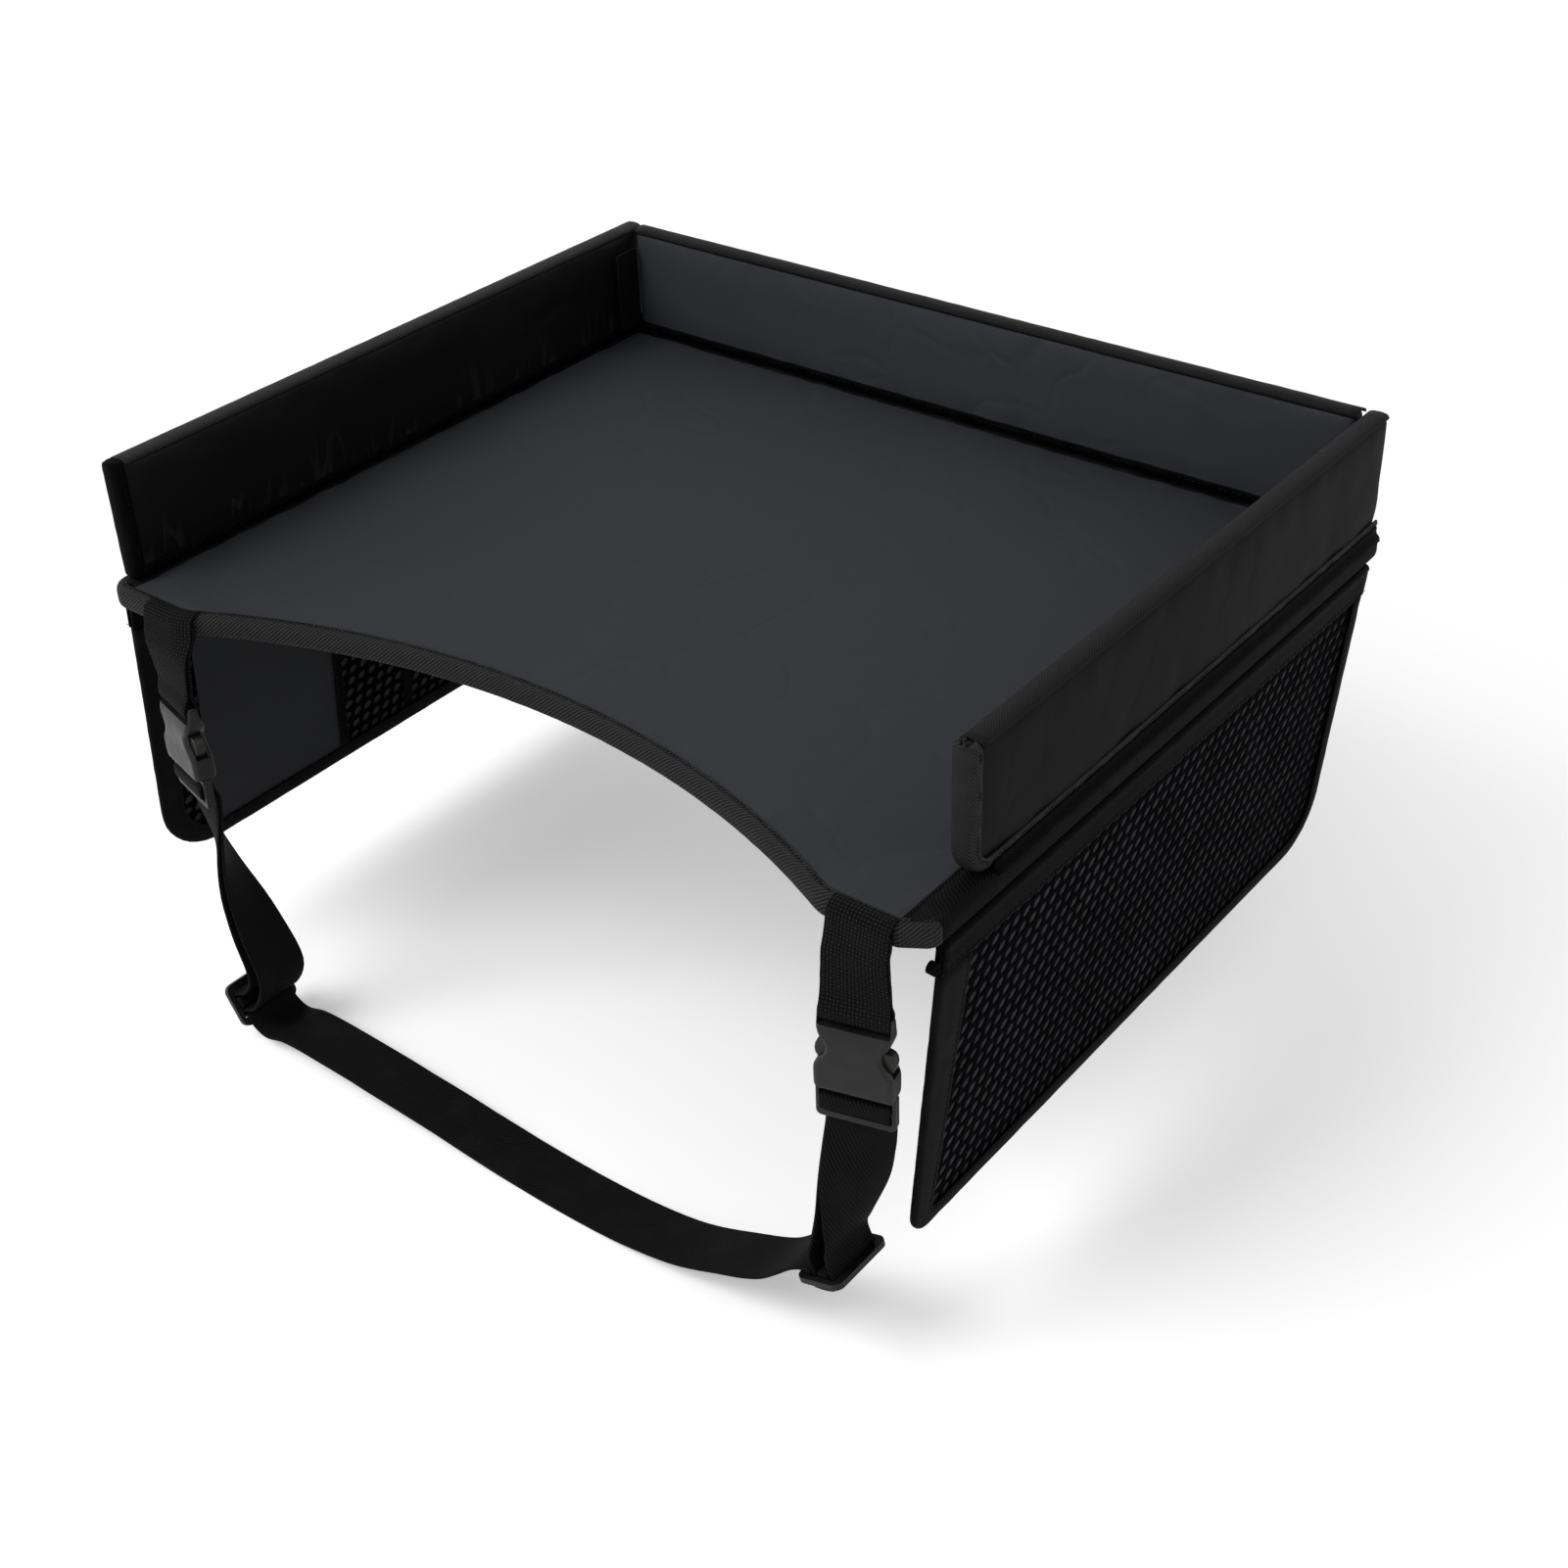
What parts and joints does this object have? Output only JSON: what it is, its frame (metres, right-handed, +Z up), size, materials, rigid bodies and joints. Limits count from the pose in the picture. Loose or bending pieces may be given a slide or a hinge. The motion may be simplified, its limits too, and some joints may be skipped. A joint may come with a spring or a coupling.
{
  "type": "car seat tray table",
  "caption": "Padded lap tray for a child's car seat, with fold-down padded walls, hanging net side flaps, a curved front recess and a buckled waist belt.",
  "frame": {"origin": "middle of the table's underside: halfway across its width, and halfway between the back edge and the side edges' front ends", "axes": "+X to the right and +Y to the back as the child sees it, +Z up through the tabletop"},
  "size_m": [0.4115, 0.3458, 0.2506],
  "materials": {
    "coated_cloth": "smooth matte charcoal coated cloth with soft creases",
    "cloth": "black woven cloth",
    "loop_fleece": "black loop fleece",
    "hook_tape": "black hook tape",
    "twill_tape": "black twill binding tape",
    "stiff_board": "stiff insert board, unseen",
    "padding": "soft padding, unseen",
    "net": "black open net",
    "webbing": "black woven webbing",
    "plastic": "black moulded plastic, softly polished"
  },
  "bodies": {
    "table": {"table_board": "stiff_board", "table_foam": "padding", "table_top_cover": "coated_cloth", "table_bottom_lining": "cloth", "front_edge_binding": "twill_tape", "left_edge_binding": "twill_tape", "right_edge_binding": "twill_tape", "back_edge_binding": "twill_tape", "left_tab_anchor": "webbing", "right_tab_anchor": "webbing"},
    "left_wall": {"left_wall_cover": "cloth", "left_wall_board": "stiff_board", "left_wall_binding": "twill_tape", "left_wall_loop_strip": "loop_fleece"},
    "right_wall": {"right_wall_cover": "cloth", "right_wall_board": "stiff_board", "right_wall_binding": "twill_tape", "right_wall_loop_strip": "loop_fleece"},
    "back_wall": {"back_wall_cover": "cloth", "back_wall_board": "stiff_board", "back_wall_binding": "twill_tape", "back_wall_left_tab": "cloth", "back_wall_left_hook_strip": "hook_tape", "back_wall_right_tab": "cloth", "back_wall_right_hook_strip": "hook_tape"},
    "left_flap": {"left_flap_hem": "twill_tape", "left_flap_net": "net", "left_flap_binding": "twill_tape", "left_flap_pocket": "cloth", "left_flap_pocket_tape": "twill_tape", "left_flap_divider_tape": "twill_tape"},
    "right_flap": {"right_flap_hem": "twill_tape", "right_flap_net": "net", "right_flap_binding": "twill_tape", "right_flap_lining": "cloth", "right_flap_tape_tail": "twill_tape"},
    "belt_ends": {"left_tab": "webbing", "right_tab": "webbing", "left_buckle_socket": "plastic", "right_buckle_socket": "plastic"},
    "waist_belt": {"left_buckle_plug": "plastic", "right_buckle_plug": "plastic", "left_buckle_inner_arm": "plastic", "left_buckle_outer_arm": "plastic", "right_buckle_inner_arm": "plastic", "right_buckle_outer_arm": "plastic", "left_slider": "plastic", "right_slider": "plastic", "waist_strap": "webbing"}
  },
  "joints": [
    {"name": "left_wall_fold", "type": "hinge", "parent": "table", "child": "left_wall", "pos_m": [-0.1975, 0, 0.01015], "axis": [0, -1, 0], "range_deg": [0, 90]},
    {"name": "right_wall_fold", "type": "hinge", "parent": "table", "child": "right_wall", "pos_m": [0.1975, 0, 0.01015], "axis": [0, 1, 0], "range_deg": [0, 90]},
    {"name": "back_wall_fold", "type": "hinge", "parent": "table", "child": "back_wall", "pos_m": [0, 0.1575, 0.01015], "axis": [-1, 0, 0], "range_deg": [0, 90]},
    {"name": "left_flap_swing", "type": "hinge", "parent": "table", "child": "left_flap", "pos_m": [-0.198, 0, -0.0023], "axis": [0, 1, 0], "range_deg": [-94, 84]},
    {"name": "right_flap_swing", "type": "hinge", "parent": "table", "child": "right_flap", "pos_m": [0.198, 0, -0.0023], "axis": [0, 1, 0], "range_deg": [-94, 84]},
    {"name": "belt_swing", "type": "hinge", "parent": "table", "child": "belt_ends", "pos_m": [0, -0.1708, -0.0003], "axis": [-1, 0, 0], "range_deg": [0, 95]},
    {"name": "buckle_release", "type": "slide", "parent": "belt_ends", "child": "waist_belt", "axis": [0, 0, -1], "range_m": [0, 0.03], "deforming": ["left_buckle_inner_arm", "left_buckle_outer_arm", "right_buckle_inner_arm", "right_buckle_outer_arm"]}
  ]
}
